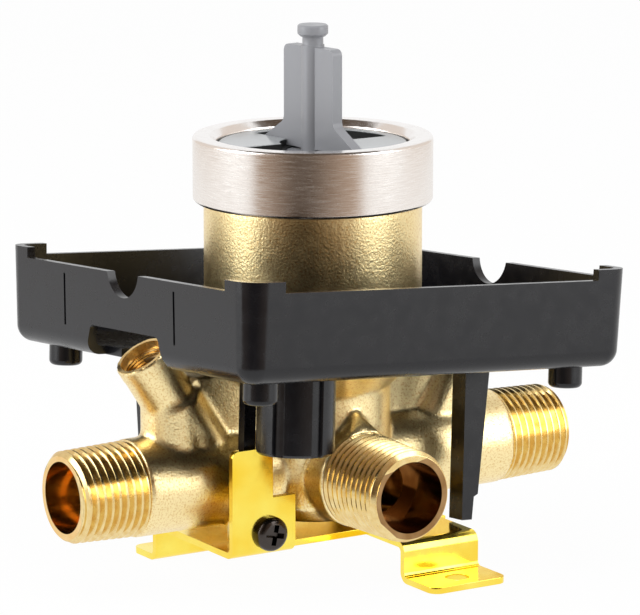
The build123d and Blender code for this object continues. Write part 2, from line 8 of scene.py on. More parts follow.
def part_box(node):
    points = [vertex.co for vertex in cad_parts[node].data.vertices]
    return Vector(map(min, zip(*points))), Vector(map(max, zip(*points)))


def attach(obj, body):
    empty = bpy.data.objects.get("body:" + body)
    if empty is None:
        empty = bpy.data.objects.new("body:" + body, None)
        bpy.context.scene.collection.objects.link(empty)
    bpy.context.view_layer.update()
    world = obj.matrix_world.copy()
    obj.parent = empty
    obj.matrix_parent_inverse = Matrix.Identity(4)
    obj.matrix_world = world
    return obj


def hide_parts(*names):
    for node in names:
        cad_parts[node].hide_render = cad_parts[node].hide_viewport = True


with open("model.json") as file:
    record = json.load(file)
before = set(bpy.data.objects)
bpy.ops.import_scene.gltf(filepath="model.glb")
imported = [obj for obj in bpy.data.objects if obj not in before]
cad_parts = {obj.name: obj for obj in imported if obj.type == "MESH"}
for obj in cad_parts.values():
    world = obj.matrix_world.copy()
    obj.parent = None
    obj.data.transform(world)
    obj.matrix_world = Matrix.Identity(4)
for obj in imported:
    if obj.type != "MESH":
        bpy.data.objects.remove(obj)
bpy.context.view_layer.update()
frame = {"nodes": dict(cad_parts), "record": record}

# Concealed diverter valve, dressed for the studio. Lengths are metres in the CAD frame.

nodes = frame["nodes"]
bodyOfNode = {
    node: body
    for body, members in frame["record"]["behaviour"]["bodies"].items()
    for node in members
}
slotOfNode = {part["node"]: part["material_slot"] for part in frame["record"]["subparts"]}

mm = 0.001
weld = 0.002 * mm                   # vertices nearer than this are merged
overrun = 1.0 * mm                  # how far cutters pass a face, and joined bars reach into each other


# Modelling

def makeActive(piece):
    for other in bpy.context.selected_objects:
        other.select_set(False)
    piece.select_set(True)
    bpy.context.view_layer.objects.active = piece


def applyModifiers(piece):
    makeActive(piece)
    for modifier in list(piece.modifiers):
        bpy.ops.object.modifier_apply(modifier=modifier.name)


def boolean(piece, tool, operation="DIFFERENCE"):
    change = piece.modifiers.new("cut", "BOOLEAN")
    change.operation = operation
    change.solver = "MANIFOLD"
    change.object = tool
    applyModifiers(piece)
    bpy.data.objects.remove(tool)


def place(piece, matrix):
    piece.data.transform(matrix)
    return piece


def copyOfNode(node, name):
    piece = bpy.data.objects.new(name, nodes[node].data.copy())
    bpy.context.scene.collection.objects.link(piece)
    makeActive(piece)
    bpy.ops.mesh.customdata_custom_splitnormals_clear()
    bpy.ops.object.mode_set(mode="EDIT")
    bpy.ops.mesh.select_all(action="SELECT")
    bpy.ops.mesh.remove_doubles(threshold=weld)
    bpy.ops.object.mode_set(mode="OBJECT")
    return piece


def selectEdges(piece, wanted):
    makeActive(piece)
    bpy.ops.object.mode_set(mode="EDIT")
    bpy.ops.mesh.select_mode(type="EDGE")
    bpy.ops.mesh.select_all(action="DESELECT")
    bpy.ops.object.mode_set(mode="OBJECT")
    for edge in piece.data.edges:
        edge.select = wanted(*[piece.data.vertices[v].co for v in edge.vertices])
    bpy.ops.object.mode_set(mode="EDIT")


def startOutline(location):
    bpy.ops.mesh.primitive_plane_add(size=mm, location=(0, 0, 0))
    outline = bpy.context.active_object
    bpy.ops.object.mode_set(mode="EDIT")
    bpy.ops.mesh.select_mode(type="VERT")
    bpy.ops.mesh.select_all(action="SELECT")
    bpy.ops.mesh.merge(type="CENTER")
    bpy.ops.transform.translate(value=location)
    return outline                  # one vertex, selected in edit mode


def extrudeBy(step):
    bpy.ops.mesh.extrude_region_move(TRANSFORM_OT_translate={"value": step})


def roundBar(radius, low, high, bevelLow=0, bevelHigh=0, facets=96, segments=1):
    bpy.ops.mesh.primitive_cylinder_add(vertices=facets, radius=radius, depth=high - low, location=(0, 0, 0))
    bar = bpy.context.active_object
    for end, bevel in ((-1, bevelLow), (1, bevelHigh)):
        if bevel:
            selectEdges(bar, lambda a, b: a.z * end > 0 and b.z * end > 0)
            bpy.ops.mesh.bevel(offset=bevel, segments=segments, affect="EDGES")
            bpy.ops.object.mode_set(mode="OBJECT")
    return place(bar, Matrix.Translation((0, 0, (low + high) / 2)))


threadForm = {
    "flank": 0.36,                  # shares of the pitch
    "crest": 0.18,
    "root": 0.10,
    "start": 1.46,                  # the profile begins this far below the bar's end
    "spareTurns": 3,
    "cutTolerance": 0.001 * mm,
}


def threadedBar(radius, length, pitch, depth, taper=0.0, steps=72):
    bar = startOutline((radius - depth, 0, -threadForm["start"] * pitch))
    flank = threadForm["flank"] * pitch
    crest = threadForm["crest"] * pitch
    root = threadForm["root"] * pitch
    for turn in range(int(length / pitch) + threadForm["spareTurns"]):
        for step in ((depth, 0, flank), (0, 0, crest), (-depth, 0, flank), (0, 0, root)):
            extrudeBy(step)
    bpy.ops.object.mode_set(mode="OBJECT")
    sweep = bar.modifiers.new("sweep", "SCREW")
    sweep.axis = "Z"
    sweep.angle = 2 * pi
    sweep.screw_offset = pitch
    sweep.steps = sweep.render_steps = steps
    applyModifiers(bar)
    bpy.ops.object.mode_set(mode="EDIT")
    bpy.ops.mesh.select_all(action="SELECT")
    bpy.ops.mesh.remove_doubles(threshold=weld)
    for height, clear in ((0, "inner"), (length, "outer")):
        bpy.ops.mesh.select_all(action="SELECT")
        bpy.ops.mesh.bisect(plane_co=(0, 0, height), plane_no=(0, 0, 1), use_fill=True,
                            threshold=threadForm["cutTolerance"],
                            clear_inner=clear == "inner", clear_outer=clear == "outer")
    bpy.ops.mesh.select_all(action="SELECT")
    bpy.ops.mesh.normals_make_consistent(inside=False)
    bpy.ops.object.mode_set(mode="OBJECT")
    if taper:
        cone = bar.modifiers.new("cone", "SIMPLE_DEFORM")
        cone.deform_method = "TAPER"
        cone.deform_axis = "Z"
        cone.factor = taper * length / radius
        applyModifiers(bar)
    return bar


def smoothShade(piece, angle=radians(35)):
    makeActive(piece)
    bpy.ops.object.shade_smooth_by_angle(angle=angle)
    even = piece.modifiers.new("even", "WEIGHTED_NORMAL")
    even.weight = 100
    even.keep_sharp = True
    applyModifiers(piece)


def finishPiece(piece, body, slot, *stoodFor):
    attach(piece, body)
    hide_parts(*stoodFor)


# Materials

def newMaterial(name, colour, metallic, roughness):
    material = bpy.data.materials.new(name)
    material.use_nodes = True
    shader = material.node_tree.nodes["Principled BSDF"]
    shader.inputs["Base Color"].default_value = (*colour, 1)
    shader.inputs["Metallic"].default_value = metallic
    shader.inputs["Roughness"].default_value = roughness
    return material, material.node_tree, shader


def noise(tree, scale, detail=4, stretch=(1, 1, 1)):
    spot = tree.nodes.new("ShaderNodeTexCoord")
    mapping = tree.nodes.new("ShaderNodeMapping")
    mapping.inputs["Scale"].default_value = stretch
    grain = tree.nodes.new("ShaderNodeTexNoise")
    grain.inputs["Scale"].default_value = scale
    grain.inputs["Detail"].default_value = detail
    tree.links.new(spot.outputs["Object"], mapping.inputs["Vector"])
    tree.links.new(mapping.outputs["Vector"], grain.inputs["Vector"])
    return grain.outputs["Fac"]


def bump(tree, shader, height, strength, distance):
    dent = tree.nodes.new("ShaderNodeBump")
    dent.inputs["Strength"].default_value = strength
    dent.inputs["Distance"].default_value = distance
    tree.links.new(height, dent.inputs["Height"])
    tree.links.new(dent.outputs["Normal"], shader.inputs["Normal"])


def spread(tree, value, low, high, start=0.35, end=0.65):
    change = tree.nodes.new("ShaderNodeMapRange")
    change.inputs["From Min"].default_value = start
    change.inputs["From Max"].default_value = end
    change.inputs["To Min"].default_value = low
    change.inputs["To Max"].default_value = high
    tree.links.new(value, change.inputs["Value"])
    return change.outputs["Result"]


def twoColours(tree, shader, value, dark, light, start=0.35, end=0.65):
    ramp = tree.nodes.new("ShaderNodeValToRGB")
    ramp.color_ramp.elements[0].position = start
    ramp.color_ramp.elements[1].position = end
    ramp.color_ramp.elements[0].color = (*dark, 1)
    ramp.color_ramp.elements[1].color = (*light, 1)
    tree.links.new(value, ramp.inputs["Fac"])
    tree.links.new(ramp.outputs["Color"], shader.inputs["Base Color"])


def unevenGloss(tree, shader, scale, low, high, detail=4):
    gloss = spread(tree, noise(tree, scale, detail), low, high)
    tree.links.new(gloss, shader.inputs["Roughness"])


def castBrass():
    material, tree, shader = newMaterial("castBrass", (0.86, 0.68, 0.38), metallic=1, roughness=0.4)
    sand = noise(tree, scale=2300, detail=3)
    twoColours(tree, shader, sand, dark=(0.76, 0.51, 0.20), light=(1.0, 0.83, 0.45), start=0.28, end=0.52)
    unevenGloss(tree, shader, scale=320, low=0.29, high=0.34, detail=5)
    bump(tree, shader, noise(tree, scale=1900), strength=0.55, distance=0.16 * mm)
    return material


def turnedBrass():
    material, tree, shader = newMaterial("turnedBrass", (0.90, 0.70, 0.36), metallic=1, roughness=0.2)
    twoColours(tree, shader, noise(tree, scale=500), dark=(0.80, 0.57, 0.23), light=(0.88, 0.70, 0.34))
    unevenGloss(tree, shader, scale=400, low=0.14, high=0.28)
    return material


def boreBrass(name, dark, light):
    material, tree, shader = newMaterial(name, light, metallic=1, roughness=0.13)
    twoColours(tree, shader, noise(tree, scale=260), dark, light)
    unevenGloss(tree, shader, scale=400, low=0.10, high=0.17)
    return material


def polishedNickel():
    material, tree, shader = newMaterial("polishedNickel", (0.88, 0.85, 0.83), metallic=1, roughness=0.2)
    unevenGloss(tree, shader, scale=500, low=0.14, high=0.24)
    return material


def brushedNickel():
    material, tree, shader = newMaterial("brushedNickel", (0.86, 0.81, 0.76), metallic=1, roughness=0.25)
    lines = noise(tree, scale=230, detail=5, stretch=(1, 1, 22))
    tree.links.new(spread(tree, lines, low=0.18, high=0.28), shader.inputs["Roughness"])
    twoColours(tree, shader, lines, dark=(0.83, 0.77, 0.72), light=(0.92, 0.88, 0.84))
    bump(tree, shader, lines, strength=0.07, distance=0.05 * mm)
    shader.inputs["Anisotropic"].default_value = 0.6
    around = tree.nodes.new("ShaderNodeTangent")
    around.direction_type = "RADIAL"
    around.axis = "Z"
    tree.links.new(around.outputs["Tangent"], shader.inputs["Tangent"])
    return material


def mouldedPlastic(name, colour, roughness, grainScale=2500, grainDepth=0.1, specular=0.5):
    material, tree, shader = newMaterial(name, colour, metallic=0, roughness=roughness)
    unevenGloss(tree, shader, scale=300, low=roughness * 0.85, high=roughness * 1.15)
    bump(tree, shader, noise(tree, grainScale, detail=3), strength=grainDepth, distance=0.03 * mm)
    shader.inputs["Specular IOR Level"].default_value = specular
    return material


def yellowZinc():
    material, tree, shader = newMaterial("yellowZinc", (1.0, 0.70, 0.06), metallic=1, roughness=0.2)
    cloud = noise(tree, scale=70, detail=3)
    twoColours(tree, shader, cloud, dark=(0.98, 0.66, 0.05), light=(1.0, 0.82, 0.14))
    unevenGloss(tree, shader, scale=500, low=0.11, high=0.18)
    return material


# near-black and nearly without gloss: painted shade on the floor of the cap's sunk sectors
def sunkPaintedShade():
    material, tree, shader = newMaterial("sunkPaintedShade", (0.03, 0.031, 0.031), metallic=0, roughness=0.6)
    unevenGloss(tree, shader, scale=300, low=0.5, high=0.7)
    shader.inputs["Specular IOR Level"].default_value = 0.15
    return material


def darkMetal(name, colour, roughness):
    material, tree, shader = newMaterial(name, colour, metallic=1, roughness=roughness)
    unevenGloss(tree, shader, scale=700, low=roughness * 0.8, high=roughness * 1.3)
    bump(tree, shader, noise(tree, scale=1500, detail=3), strength=0.1, distance=0.03 * mm)
    return material


finishes = {
    "cast_brass": castBrass(),
    "turned_brass": turnedBrass(),
    "brushed_nickel": brushedNickel(),
    "bore_brass": boreBrass("boreBrass", (0.86, 0.55, 0.20), (0.93, 0.65, 0.30)),
    # dark brown: painted shade inside the outlet sockets
    "outlet_painted_shade": boreBrass("outletPaintedShade", (0.30, 0.16, 0.06), (0.42, 0.25, 0.11)),
    "polished_nickel": polishedNickel(),
    "grey_plastic": mouldedPlastic("greyPlastic", (0.36, 0.38, 0.39), 0.15, grainScale=1800, grainDepth=0.06),
    # painted shade for the floor of the cap's sunk sectors
    "sunk_painted_shade": sunkPaintedShade(),
    "stem_plastic": mouldedPlastic("stemPlastic", (0.29, 0.295, 0.315), 0.33),
    "white_plastic": mouldedPlastic("whitePlastic", (0.75, 0.75, 0.73), 0.4),
    "black_plastic": mouldedPlastic("blackPlastic", (0.004, 0.004, 0.006), 0.25, specular=0.45),
    "black_rubber": mouldedPlastic("blackRubber", (0.02, 0.02, 0.02), 0.7),
    "ceramic": mouldedPlastic("ceramicWhite", (0.80, 0.78, 0.73), 0.2),
    "spring_steel": darkMetal("springSteel", (0.45, 0.44, 0.43), 0.3),
    "yellow_zinc": yellowZinc(),
    "black_screw": darkMetal("blackScrew", (0.07, 0.06, 0.055), 0.22),
}
print("materials made", len(finishes))


def paint(piece, *slots):
    piece.data.materials.clear()
    for slot in slots:
        piece.data.materials.append(finishes[slot])


for node, piece in nodes.items():
    paint(piece, slotOfNode[node])


# Cast body with its threaded ends and stop mouths

castBody = {
    "portHeight": 23.0 * mm,
    "threadPitch": 1.814 * mm,
    "threadDepth": 1.1 * mm,
    "threadTaper": 1 / 32,          # of the radius, along the axis
    "threadSteps": 72,              # facets round one turn
    "crestRadius": 10.25 * mm,      # over the crests at the face
    "supplyThread": 16.3 * mm,
    "outletThread": 19.5 * mm,
    "faceBevel": 1.0 * mm,
    "crestRoom": 0.1 * mm,          # between the crests and the cone that trims the end
    "clearance": 1.005,             # the solid's plain ends are cut away this much wider
    "overlap": 1.0 * mm,            # of a threaded end into the casting
    "socketRadius": 8.0 * mm,       # for the copper tube
    "socketDepth": 12.7 * mm,
    "supplyBore": 6.5 * mm,
    "outletBore": 6.0 * mm,
    "grain": 0.65 * mm,             # voxel that the casting is rounded with
    "roundings": 4,
    "roundFactor": 0.5,
    "shadeAngle": radians(55),
    "webFrom": 15.0 * mm,           # webs between the trunk and the stop bosses
    "webFoot": 27.0 * mm,
    "webTopLeft": 47.0 * mm,
    "webTopRight": 45.0 * mm,
    "webHalf": 4.6 * mm,
    "webInBoss": 7.0 * mm,
    "finishes": ("cast_brass", "turned_brass", "bore_brass", "outlet_painted_shade"),
}

serviceStop = {
    "tilt": radians(33.0),
    "foot": 25.4 * mm,
    "mouth": 35.2 * mm,             # machined face, along the stop axis
    "bore": 4.8 * mm,
    "seat": 6.0 * mm,               # the washer's seat, cut true after the rounding
    "threadFrom": 26.5 * mm,
    "threadPitch": 0.75 * mm,
    "threadDepth": 0.25 * mm,
    "threadSteps": 36,
    "entry": 2.0 * mm,              # plain entry before the thread
    "entryRoom": 0.1 * mm,
    "collar": 6.3 * mm,
    "collarLength": 3.0 * mm,
    "collarBevel": 0.5 * mm,
    "cutterBores": 4,               # radius of the facing cutter, in bores
    "cutterDepth": 5.0 * mm,
    "faceReach": 8.0 * mm,          # turned brass, round the axis
    "faceDepth": 0.2 * mm,
    "boreBehind": 8.0 * mm,         # bore brass, from this far behind the thread
    "boreRoom": 0.05 * mm,
    "boreLip": 0.1 * mm,
}
tappedRadius = serviceStop["bore"] + serviceStop["threadDepth"]


def intoPort(axis, side, reach):
    height = castBody["portHeight"]
    if axis == "X":
        return Matrix.Translation((side * reach, 0, height)) @ Matrix.Rotation(-side * pi / 2, 4, "Y")
    return Matrix.Translation((0, side * reach, height)) @ Matrix.Rotation(side * pi / 2, 4, "X")


def alongStop(side):
    foot = Matrix.Translation((side * serviceStop["foot"], 0, castBody["portHeight"]))
    return foot @ Matrix.Rotation(side * serviceStop["tilt"], 4, "Y")


def stopWeb(side):
    facts = castBody
    top = facts["webTopLeft"] if side < 0 else facts["webTopRight"]
    lean = tan(serviceStop["tilt"])
    outer = serviceStop["foot"] + (facts["webFoot"] - facts["portHeight"]) * lean - facts["webInBoss"]
    width = outer - facts["webFrom"]
    height = top - facts["webFoot"]
    bpy.ops.mesh.primitive_cube_add(size=1, location=(0, 0, 0))
    web = place(bpy.context.active_object, Matrix.Diagonal((width, 2 * facts["webHalf"], height, 1)))
    selectEdges(web, lambda a, b: a.x * side > 0 and b.x * side > 0 and a.z > 0 and b.z > 0)
    bpy.ops.transform.translate(value=(side * height * lean, 0, 0))
    bpy.ops.object.mode_set(mode="OBJECT")
    middle = (side * (facts["webFrom"] + outer) / 2, 0, (facts["webFoot"] + top) / 2)
    return place(web, Matrix.Translation(middle))


def portEnds(high):
    ends = []
    for side in (1, -1):
        ends.append((intoPort("X", side, high.x), castBody["supplyThread"], castBody["supplyBore"]))
        ends.append((intoPort("Y", side, high.y), castBody["outletThread"], castBody["outletBore"]))
    return ends


def clearEnd(body, matrix, thread):
    radius = (castBody["crestRadius"] + thread * castBody["threadTaper"]) * castBody["clearance"]
    boolean(body, place(roundBar(radius, -overrun, thread), matrix))


def roundCasting(body):
    remesh = body.modifiers.new("skin", "REMESH")
    remesh.mode = "VOXEL"
    remesh.voxel_size = castBody["grain"]
    soften = body.modifiers.new("round", "SMOOTH")
    soften.factor = castBody["roundFactor"]
    soften.iterations = castBody["roundings"]
    applyModifiers(body)
    print("casting rounded", len(body.data.polygons))


def addThreadedEnd(body, matrix, thread, bore):
    facts = castBody
    length = thread + facts["overlap"]
    widening = length * facts["threadTaper"]
    end = threadedBar(facts["crestRadius"], length, facts["threadPitch"], facts["threadDepth"],
                      facts["threadTaper"], facts["threadSteps"])
    envelope = roundBar(facts["crestRadius"] + widening + facts["crestRoom"], 0, length,
                        bevelLow=facts["faceBevel"] + widening)
    boolean(end, envelope, "INTERSECT")
    boolean(body, place(end, matrix), "UNION")
    socket = roundBar(facts["socketRadius"], -overrun, facts["socketDepth"])
    boolean(body, place(socket, matrix))
    waterway = roundBar(bore, 0, length + 2 * overrun)
    boolean(body, place(waterway, matrix))


def cutStop(body, side):
    facts = serviceStop
    mouth = facts["mouth"]
    face = roundBar(facts["cutterBores"] * facts["bore"], mouth, mouth + facts["cutterDepth"])
    boolean(body, place(face, alongStop(side)))
    collar = roundBar(facts["collar"], mouth - facts["collarLength"], mouth, bevelHigh=facts["collarBevel"])
    boolean(body, place(collar, alongStop(side)), "UNION")
    core = roundBar(facts["bore"], facts["seat"], mouth + overrun)
    boolean(body, place(core, alongStop(side)))
    depth = mouth - facts["entry"] - facts["threadFrom"]
    tap = threadedBar(tappedRadius, depth, facts["threadPitch"], facts["threadDepth"],
                      steps=facts["threadSteps"])
    place(tap, Matrix.Translation((0, 0, facts["threadFrom"])))
    boolean(body, place(tap, alongStop(side)))
    entry = roundBar(tappedRadius + facts["entryRoom"], mouth - facts["entry"], mouth + overrun)
    boolean(body, place(entry, alongStop(side)))


def finishAt(spot, high, intoStops):
    facts = castBody
    beyondX = abs(spot.x) > high.x - facts["supplyThread"]
    beyondY = abs(spot.y) > high.y - facts["outletThread"]
    fromPort = spot - Vector((0, 0, facts["portHeight"]))
    offX = Vector((fromPort.y, fromPort.z)).length
    offY = Vector((fromPort.x, fromPort.z)).length
    threadRadius = facts["crestRadius"] + facts["outletThread"] * facts["threadTaper"]
    machined = (beyondX and offX < threadRadius) or (beyondY and offY < threadRadius)
    inSupply = beyondX and offX < facts["socketRadius"]
    inOutlet = beyondY and offY < facts["socketRadius"]
    stop = serviceStop
    for intoStop in intoStops:
        local = intoStop @ spot
        away = Vector((local.x, local.y)).length
        onFace = local.z > stop["mouth"] - stop["faceDepth"] and away < stop["faceReach"]
        machined = machined or onFace
        behindLip = stop["threadFrom"] - stop["boreBehind"] < local.z < stop["mouth"] - stop["boreLip"]
        inSupply = inSupply or (behindLip and away < tappedRadius + stop["boreRoom"])
    # the outlet sockets get the dark brown painted shade
    if inOutlet:
        return "outlet_painted_shade"
    if inSupply:
        return "bore_brass"
    return "turned_brass" if machined else "cast_brass"


def dressBody():
    low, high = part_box("valve_body")
    body = copyOfNode("valve_body", "castBody")
    ends = portEnds(high)
    for matrix, thread, bore in ends:
        clearEnd(body, matrix, thread)
    for side in (1, -1):
        boolean(body, stopWeb(side), "UNION")
    roundCasting(body)
    for matrix, thread, bore in ends:
        addThreadedEnd(body, matrix, thread, bore)
    for side in (1, -1):
        cutStop(body, side)
    paint(body, *castBody["finishes"])
    intoStops = [alongStop(side).inverted() for side in (1, -1)]
    for polygon in body.data.polygons:
        finish = finishAt(polygon.center, high, intoStops)
        polygon.material_index = castBody["finishes"].index(finish)
    smoothShade(body, castBody["shadeAngle"])
    finishPiece(body, "valve", "cast_brass", "valve_body")
    print("body dressed", len(body.data.polygons))


dressBody()


# Moulded, folded and turned pieces keep their CAD form, with worn edges

softEdges = {                       # width of the wear on each piece
    "bonnet_nut": 0.25 * mm,
    "cartridge_cap": 0.2 * mm,
    "plaster_guard": 0.3 * mm,
    "mounting_bracket": 0.15 * mm,
}

wear = {
    "flatWithin": radians(0.4),     # faces that meet at less are joined first
    "sharperThan": radians(38),     # edges that meet at more are worn
    "segments": 2,
    "shadeAngle": radians(40),
}

bonnetNut = {
    "polishedAbove": 0.3,           # rise of a face's normal
}

cartridgeCap = {
    "sunkFloor": 94.7 * mm,         # floor of the sectors that the stem's feet swing in
    "sunkReach": 18.9 * mm,
    "sunkBelow": 0.4 * mm,          # under the cap's top
}


def softenEdges(piece, width):
    makeActive(piece)
    bpy.ops.object.mode_set(mode="EDIT")
    bpy.ops.mesh.select_all(action="SELECT")
    bpy.ops.mesh.dissolve_limited(angle_limit=wear["flatWithin"])
    bpy.ops.object.mode_set(mode="OBJECT")
    edge = piece.modifiers.new("edge", "BEVEL")
    edge.width = width
    edge.segments = wear["segments"]
    edge.limit_method = "ANGLE"
    edge.angle_limit = wear["sharperThan"]
    applyModifiers(piece)
    smoothShade(piece, wear["shadeAngle"])


def dressWithSoftEdges(node, width):
    words = node.split("_")
    name = words[0] + "".join(word.capitalize() for word in words[1:])
    piece = copyOfNode(node, name)
    softenEdges(piece, width)
    paint(piece, slotOfNode[node])
    finishPiece(piece, bodyOfNode[node], slotOfNode[node], node)
    print("softened", name, len(piece.data.polygons))
    return piece


def polishNut(nut):
    paint(nut, "brushed_nickel", "polished_nickel")
    for polygon in nut.data.polygons:
        polygon.material_index = 1 if polygon.normal.z > bonnetNut["polishedAbove"] else 0


def paintSectorShade(cap):
    # faces below the cap's top within the sectors' reach get the near-black painted shade, the rest the cap's
    # grey
    paint(cap, "grey_plastic", "sunk_painted_shade")
    top = max(vertex.co.z for vertex in cap.data.vertices)
    for polygon in cap.data.polygons:
        spot = polygon.center
        within = Vector((spot.x, spot.y)).length < cartridgeCap["sunkReach"]
        polygon.material_index = 1 if within and spot.z < top - cartridgeCap["sunkBelow"] else 0


dressed = {node: dressWithSoftEdges(node, width) for node, width in softEdges.items()}
polishNut(dressed["bonnet_nut"])
paintSectorShade(dressed["cartridge_cap"])


# Stem: the shaft of the CAD, with its paddle, post and button as they show

stemPaddle = {
    "turn": radians(99.0),          # of the fins, from the X axis
    "foot": 94.9 * mm,
    "thick": 2.75 * mm,
    "outline": [                    # half of the fins, in mm: reach, and height over the foot
        (15.6, 0.9),
        (9.1, 5.1),
        (8.5, 5.8),
        (8.3, 6.6),
        (8.3, 21.5),
        (8.1, 22.2),
        (7.6, 22.7),
        (6.9, 22.9),
    ],
    "clearRadius": 30.0 * mm,       # the CAD's own paddle is cut off within this
    "clearBelow": 0.3 * mm,         # and from this far under the sunk floor
    "postBelow": 2.0 * mm,
    "post": 2.6 * mm,
    "postTop": 118.2 * mm,
    "neck": 2.35 * mm,
    "head": 3.43 * mm,
    "headFrom": 120.1 * mm,
    "headBevel": 0.6 * mm,
    "headEdge": 0.3 * mm,
    "softEdge": 0.25 * mm,
}


def finPlate():
    facts = stemPaddle
    outer = [(x * mm, z * mm) for x, z in facts["outline"]]
    chain = [(outer[0][0], 0)] + outer + [(-x, z) for x, z in reversed(outer)] + [(-outer[0][0], 0)]
    plate = startOutline((chain[0][0], -facts["thick"] / 2, 0))
    for last, point in zip(chain, chain[1:]):
        extrudeBy((point[0] - last[0], 0, point[1] - last[1]))
    bpy.ops.mesh.select_all(action="SELECT")
    bpy.ops.mesh.edge_face_add()
    extrudeBy((0, facts["thick"], 0))
    bpy.ops.mesh.select_all(action="SELECT")
    bpy.ops.mesh.normals_make_consistent(inside=False)
    bpy.ops.object.mode_set(mode="OBJECT")
    turned = Matrix.Translation((0, 0, facts["foot"])) @ Matrix.Rotation(facts["turn"], 4, "Z")
    return place(plate, turned)


def dressStem():
    facts = stemPaddle
    floor = cartridgeCap["sunkFloor"]
    low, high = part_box("diverter_stem")
    stem = copyOfNode("diverter_stem", "diverterStem")
    boolean(stem, roundBar(facts["clearRadius"], floor - facts["clearBelow"], high.z + overrun))
    boolean(stem, roundBar(facts["post"], floor - facts["postBelow"], facts["postTop"]), "UNION")
    boolean(stem, roundBar(facts["neck"], facts["postTop"] - overrun, facts["headFrom"] + overrun), "UNION")
    head = roundBar(facts["head"], facts["headFrom"], high.z, facts["headBevel"], facts["headEdge"])
    boolean(stem, head, "UNION")
    boolean(stem, finPlate(), "UNION")
    softenEdges(stem, facts["softEdge"])
    paint(stem, slotOfNode["diverter_stem"])
    finishPiece(stem, bodyOfNode["diverter_stem"], slotOfNode["diverter_stem"], "diverter_stem")
    print("stem made", len(stem.data.polygons))


dressStem()


# Pan-head screws with a tapered cross recess

bracketScrew = {
    "head": 3.9 * mm,
    "headHeight": 2.5 * mm,
    "headFacets": 64,
    "dome": 1.7 * mm,
    "domeSegments": 6,
    "shank": 1.62 * mm,
    "length": 9.0 * mm,
    "overlap": 0.5 * mm,            # of the shank into the head
    "threadPitch": 0.8 * mm,
    "threadDepth": 0.28 * mm,
    "threadSteps": 24,
    "recessReach": 3.1 * mm,        # arms of the cutter, at its outer end outside the head
    "recessWidth": 1.6 * mm,
    "recessDepth": 1.6 * mm,
    "recessTaper": 0.5,             # share of them that is left at the bottom of the recess
    "recessTurn": radians(12.0),
}


def crossRecess():
    facts = bracketScrew
    size = (2 * facts["recessReach"], facts["recessWidth"], 2 * facts["recessDepth"])
    arms = []
    for turn in (0, pi / 2):
        bpy.ops.mesh.primitive_cube_add(size=1, location=(0, 0, 0))
        arm = bpy.context.active_object
        bpy.ops.object.mode_set(mode="EDIT")
        bpy.ops.mesh.select_all(action="SELECT")
        bpy.ops.transform.resize(value=size)
        bpy.ops.object.mode_set(mode="OBJECT")
        selectEdges(arm, lambda a, b: a.z > 0 and b.z > 0)
        bpy.ops.transform.resize(value=(facts["recessTaper"], facts["recessTaper"], 1))
        bpy.ops.object.mode_set(mode="OBJECT")
        arms.append(place(arm, Matrix.Rotation(turn + facts["recessTurn"], 4, "Z")))
    boolean(arms[0], arms[1], "UNION")
    return place(arms[0], Matrix.Translation((0, 0, -facts["headHeight"])))


def dressScrew(node, name, side):
    facts = bracketScrew
    low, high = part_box(node)
    screw = roundBar(facts["head"], -facts["headHeight"], 0, bevelLow=facts["dome"],
                     segments=facts["domeSegments"], facets=facts["headFacets"])
    shank = threadedBar(facts["shank"], facts["length"] + facts["overlap"], facts["threadPitch"],
                        facts["threadDepth"], steps=facts["threadSteps"])
    boolean(screw, place(shank, Matrix.Translation((0, 0, -facts["overlap"]))), "UNION")
    boolean(screw, crossRecess())
    seat = high.y - facts["headHeight"] if side > 0 else low.y + facts["headHeight"]
    centre = Matrix.Translation(((low.x + high.x) / 2, seat, (low.z + high.z) / 2))
    turned = Matrix.Rotation(pi if side > 0 else 0, 4, "Z")
    place(screw, centre @ turned @ Matrix.Rotation(-pi / 2, 4, "X"))
    screw.name = name
    smoothShade(screw)
    paint(screw, "black_screw")
    finishPiece(screw, "valve", "black_screw", node)
    print("screw made", name, len(screw.data.polygons))


dressScrew("front_bracket_screw", "frontBracketScrew", -1)
dressScrew("rear_bracket_screw", "rearBracketScrew", 1)


# Studio

view = {
    "azimuth": radians(-32.2),
    "elevation": radians(11.5),
    "distance": 0.942,
    "lens": 233.6,                  # millimetres, as the sensor
    "sensor": 36,
    "aimRight": 1.6 * mm,           # the aim, from the crossing of the port axes
    "aimUp": 34.8 * mm,
}

studio = {
    "floorSize": 12,
    "floorColour": (0.9, 0.9, 0.9),
    "floorGlow": 0.97,              # share of plain white in the floor that camera and reflections see
    "skyLight": 0.5,
    "cardFrom": radians(-55.0),     # dark card behind the camera, from the camera's own direction
    "cardTo": radians(46.0),
    "cardDistance": 0.30,
    "cardFoot": 2.0 * mm,
    "cardHeight": 0.75,
    "cardSteps": 24,
    "cardTint": (1.0, 0.72, 0.53),
    "cardLeft": 0.42,               # its glow from left to right
    "cardMiddle": 0.10,
    "cardRight": 0.50,
    "cardFadeLeft": (-0.8, -0.3),   # where the glow changes, in card distances
    "cardFadeRight": (0, 0.7),
    "sideFrom": radians(96.0),      # pale cards behind the object, left and right
    "sideTo": radians(150.0),
    "sideDistance": 0.6,
    "sideGlow": 0.80,
    "sideTint": (1.0, 0.90, 0.82),
    "ceilingHeight": 0.5,           # dark card overhead
    "ceilingSize": 0.55,
    "ceilingGlow": 0.10,
    "lampAim": (0, 0, 0.05),
}

lamps = {
    "softboxLeft": {
        "turn": radians(-78.0),     # from the camera's own direction
        "distance": 0.8,
        "height": 0.4,
        "size": (0.5, 0.8),
        "power": 4.6,
        "mirrored": True,           # seen by reflections
    },
    "softboxRight": {
        "turn": radians(70.0),
        "distance": 0.8,
        "height": 0.4,
        "size": (0.45, 0.8),
        "power": 3.4,
        "mirrored": True,
    },
    "softboxTop": {
        "turn": radians(-20.0),
        "distance": 0.35,
        "height": 0.9,
        "size": (0.6, 0.6),
        "power": 2.4,
        "mirrored": False,
    },
}


